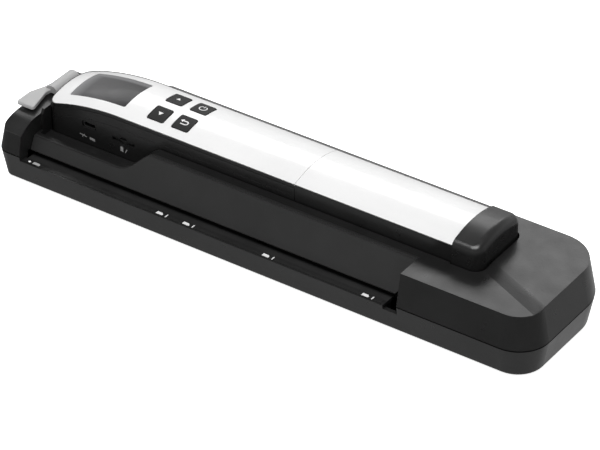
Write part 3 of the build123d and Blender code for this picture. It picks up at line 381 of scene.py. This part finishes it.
def onto_top(tree, x, y):
    """Places a drawing in millimetres on a top surface, its own up pointing to the back."""
    def place(u, v):
        point, normal, *_ = tree.ray_cast(Vector((x + u * MM, y + v * MM, 1.0)), Vector((0, 0, -1)))
        return point, normal
    return place


def onto_front(tree, x, z):
    """Places a drawing in millimetres on a surface that faces the front."""
    def place(u, v):
        point, normal, *_ = tree.ray_cast(Vector((x + u * MM, -1.0, z + v * MM)), Vector((0, 1, 0)))
        return point, normal
    return place


def add_piece(bm, name, body, slot):
    """Makes a finished mesh into a piece that rides on a body and has a material slot."""
    mesh = bpy.data.meshes.new(name)
    bm.to_mesh(mesh)
    bm.free()
    piece = bpy.data.objects.new(name, mesh)
    bpy.context.scene.collection.objects.link(piece)
    dress(piece, slot)
    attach(piece, body)


def add_mark(name, body, slot, shapes, place, above=0.05, below=0.03):
    """Thin closed ink shapes on a surface, one for each outline."""
    bm = bmesh.new()
    for shape in shapes:
        spots = [place(u, v) for u, v in shape]
        top = [bm.verts.new(point + normal * above * MM) for point, normal in spots]
        foot = [bm.verts.new(point - normal * below * MM) for point, normal in spots]
        bm.faces.new(top)
        bm.faces.new(list(reversed(foot)))
        for index in range(len(shape)):
            after = (index + 1) % len(shape)
            bm.faces.new((foot[index], foot[after], top[after], top[index]))
    bmesh.ops.recalc_face_normals(bm, faces=bm.faces)
    bmesh.ops.triangulate(bm, faces=bm.faces)
    add_piece(bm, name, body, slot)


def stroke(points, width):
    """Closed outline of a line of even width through some points."""
    left, right = [], []
    for index, (x, y) in enumerate(points):
        x0, y0 = points[max(index - 1, 0)]
        x1, y1 = points[min(index + 1, len(points) - 1)]
        length = math.hypot(x1 - x0, y1 - y0)
        side = (-(y1 - y0) / length * width / 2, (x1 - x0) / length * width / 2)
        left.append((x + side[0], y + side[1]))
        right.append((x - side[0], y - side[1]))
    return left + right[::-1]


def bow(radius, start, end, steps, centre=(0.0, 0.0)):
    """Points along an arc, in degrees."""
    angles = [math.radians(start + (end - start) * k / steps) for k in range(steps + 1)]
    return [(centre[0] + radius * math.cos(a), centre[1] + radius * math.sin(a)) for a in angles]


# outlines in millimetres from each key's middle
KEY_SHAPES = {
    "button_up": [[(-1.3, -0.8), (1.3, -0.8), (0.0, 1.1)]],
    "button_down": [[(-1.5, 1.0), (0.0, -1.2), (1.5, 1.0)]],
    "button_ok": [stroke(bow(2.0, 115, 425, 20), 0.5), stroke([(0.0, 0.4), (0.0, 2.5)], 0.5)],
    "button_back": [
        stroke([(-1.6, 1.1), (0.7, 1.1)] + bow(1.15, 75, -75, 8, (0.8, -0.05))
               + [(0.7, -1.2), (-1.9, -1.2)], 0.62),
        [(-1.3, 2.2), (-1.3, 0.0), (-2.9, 1.1)]],
}


def add_key_symbols():
    """A white symbol on each key: up, down, power and return."""
    for node, shapes in KEY_SHAPES.items():
        low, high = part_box(node)
        place = onto_top(search_tree(node), (low[0] + high[0]) / 2, (low[1] + high[1]) / 2)
        add_mark(f"{node}_symbol", node, "wand_white", shapes, place)


# where the ledge's marks for sheet edges stand, in millimetres
SHEET_EDGES = (-53.0, -37.0, 10.4, 68.0)


def add_ledge_marks():
    """Paper edge marks on the ledge, each with a small sheet icon, and the guide icon by the lamp."""
    low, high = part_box("size_scale_strip")
    place = onto_top(search_tree("size_scale_strip"), low[0], (low[1] + high[1]) / 2)
    shapes = []
    for x in (edge - low[0] / MM for edge in SHEET_EDGES):
        shapes.append([(x - 0.3, -1.2), (x + 0.3, -1.2), (x + 0.3, 1.2), (x - 0.3, 1.2)])
        shapes.append([(x - 6.0, -0.9), (x - 2.2, -0.9), (x - 2.2, 0.2), (x - 3.2, 1.0), (x - 6.0, 1.0)])
    add_mark("ledge_size_marks", "dock", "wand_white", shapes, place)
    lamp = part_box("status_light_pipe")
    start = (lamp[1][0] - low[0]) / MM + 1.5
    sheet = [(start, -0.9), (start + 4.2, -0.9), (start + 4.2, 0.3), (start + 3.2, 0.9), (start, 0.9)]
    add_mark("ledge_guide_icon", "dock", "lever_grey", [sheet], place)


def add_port_marks():
    """Small grey pictograms below the two ports: a plug and a card."""
    tree = search_tree("wand_lower_case")
    plug_low, plug_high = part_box("mini_usb_port")
    card_low, card_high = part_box("memory_card")
    plug = [
        stroke([(-6.0, 0.5), (-1.8, -0.2)], 0.45), stroke([(-4.6, -1.0), (-3.0, 0.9)], 0.4),
        [(0.2, -0.9), (3.4, -1.3), (3.4, 0.1), (0.2, 0.5)]]
    card = [
        [(-2.0, -1.2), (-0.2, -1.5), (-0.2, 0.9), (-1.2, 1.6), (-2.0, 1.2)],
        stroke([(0.9, -1.5), (2.1, 0.7)], 0.45)]
    add_mark("plug_pictogram", "wand", "lever_grey", plug,
             onto_front(tree, (plug_low[0] + plug_high[0]) / 2, plug_low[2] - 5.6 * MM), 0.02)
    add_mark("card_pictogram", "wand", "lever_grey", card,
             onto_front(tree, (card_low[0] + card_high[0]) / 2, card_low[2] - 4.2 * MM), 0.02)


def add_lines(name, body, slot, runs, out, width, height):
    """Square section lines through runs of points; out gives a point's outward direction."""
    bm = bmesh.new()
    for run in runs:
        rings = []
        for point in run:
            away = Vector(out(point)).normalized()
            up = Vector((0, 0, 1))
            rings.append([bm.verts.new(Vector(point) + away * a * width * MM / 2 + up * b * height * MM / 2)
                          for a, b in ((1, -1), (-1, -1), (-1, 1), (1, 1))])
        for one, two in zip(rings, rings[1:]):
            for k in range(4):
                bm.faces.new((one[k], one[(k + 1) % 4], two[(k + 1) % 4], two[k]))
        bm.faces.new(rings[0])
        bm.faces.new(list(reversed(rings[-1])))
    bmesh.ops.recalc_face_normals(bm, faces=bm.faces)
    add_piece(bm, name, body, slot)


def steps_between(start, end, count):
    """Evenly spaced values from start to end."""
    return [start + (end - start) * k / count for k in range(count + 1)]


UP = (0, 0, 1)
DOWN = (0, 0, -1)
GROOVE_DEPTH = 0.6 * MM
# how far inside and below a cover's edge its bead is placed, and the bead's width and height, in millimetres
BEAD_PROBE = 0.35
BEAD_SIZE = (0.36, 0.8)


def add_side_groove():
    """Dark line along the joint between the wand's side frame and its lower case, both sides."""
    tree = search_tree("wand_side_frame")
    low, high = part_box("wand_side_frame")
    runs = []
    for side, wall in ((1, low[1]), (-1, high[1])):
        run = []
        for x in steps_between(low[0] + 7 * MM, high[0] - 1 * MM, 60):
            hit = shot(tree, (x, wall + side * GROOVE_DEPTH, low[2] - 0.02), UP)
            if hit is not None:
                run.append((x, wall, hit.z))
        runs.append(run)
    middle = (low[1] + high[1]) / 2
    add_lines("side_groove_line", "wand", "inner_black", runs, lambda p: (0, p[1] - middle, 0), 0.12, 0.5)


def cover_edge(node, inset, x0, x1, corner):
    """Points round a cover's edge, from its front side round the left end to its back."""
    tree = search_tree(node)
    low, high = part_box(node)
    left, front, back = x0 - inset * MM, low[1] - inset * MM, high[1] + inset * MM
    reach = corner * MM
    outline = [(x, front) for x in steps_between(x1, left + reach, 70)]
    outline += [(left + reach - reach * math.sin(a), front + reach - reach * math.cos(a))
                for a in steps_between(0.0, math.pi / 2, 8)[1:]]
    outline += [(left, y) for y in steps_between(front + reach, back - reach, 24)[1:]]
    outline += [(left + reach - reach * math.cos(a), back - reach + reach * math.sin(a))
                for a in steps_between(0.0, math.pi / 2, 8)[1:]]
    outline += [(x, back) for x in steps_between(left + reach, x1, 70)[1:]]
    centre = Vector(((x0 + x1) / 2, (low[1] + high[1]) / 2, 0))
    points = []
    for x, y in outline:
        inward = Vector((min(max(x, x0 + 8 * MM), x1), centre.y, 0)) - Vector((x, y, 0))
        test = Vector((x, y, 0)) + inward.normalized() * (inset + BEAD_PROBE) * MM
        hit = shot(tree, (test.x, test.y, 1.0), DOWN)
        if hit is not None:
            points.append((x, y, hit.z - BEAD_PROBE * MM))
    return points


def add_cover_edges():
    """Fine black bead round the white covers, where their edge meets the black sides."""
    low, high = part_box("wand_top_cover")
    middle = (low[1] + high[1]) / 2
    points = cover_edge("wand_top_cover", 0.1, low[0], high[0] - 0.1 * MM, 5.8)
    add_lines("cover_edge_bead", "wand", "wand_black", [points],
              lambda p: (min(p[0] - low[0] - 8 * MM, 0.0), p[1] - middle, 0), *BEAD_SIZE)
    pack_low, pack_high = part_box("battery_pack_cover")
    tree = search_tree("battery_pack_cover")
    runs = []
    for y, step in ((pack_low[1] - 0.1 * MM, 0.45), (pack_high[1] + 0.1 * MM, -0.45)):
        run = []
        for x in steps_between(pack_low[0] + 0.1 * MM, pack_high[0] - 0.1 * MM, 40):
            hit = shot(tree, (x, y + step * MM, 1.0), DOWN)
            run.append((x, y, hit.z - BEAD_PROBE * MM))
        runs.append(run)
    add_lines("battery_edge_bead", "battery_pack", "wand_black", runs,
              lambda p: (0, p[1] - middle, 0), *BEAD_SIZE)


def add_panel_line():
    """Shadow line where the entry panel's top edge meets the dock's rim."""
    tree = search_tree("front_guide_panel")
    low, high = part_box("front_guide_panel")
    run = []
    heights = steps_between(high[2], low[2] + 6 * MM, 120)
    for x in steps_between(low[0] + 0.5 * MM, high[0] - 0.5 * MM, 220):
        hits = (shot(tree, (x, -1.0, z), (0, 1, 0)) for z in heights)
        top = next((hit for hit in hits if hit is not None), None)
        if top is not None:
            run.append((x, top.y, top.z))
    add_lines("panel_top_line", "dock", "inner_black", [run], lambda p: (0, -1, 0), 0.16, 0.42)


add_camera()
add_studio()
finish_cad_nodes()
add_key_symbols()
add_ledge_marks()
add_port_marks()
add_side_groove()
add_cover_edges()
add_panel_line()
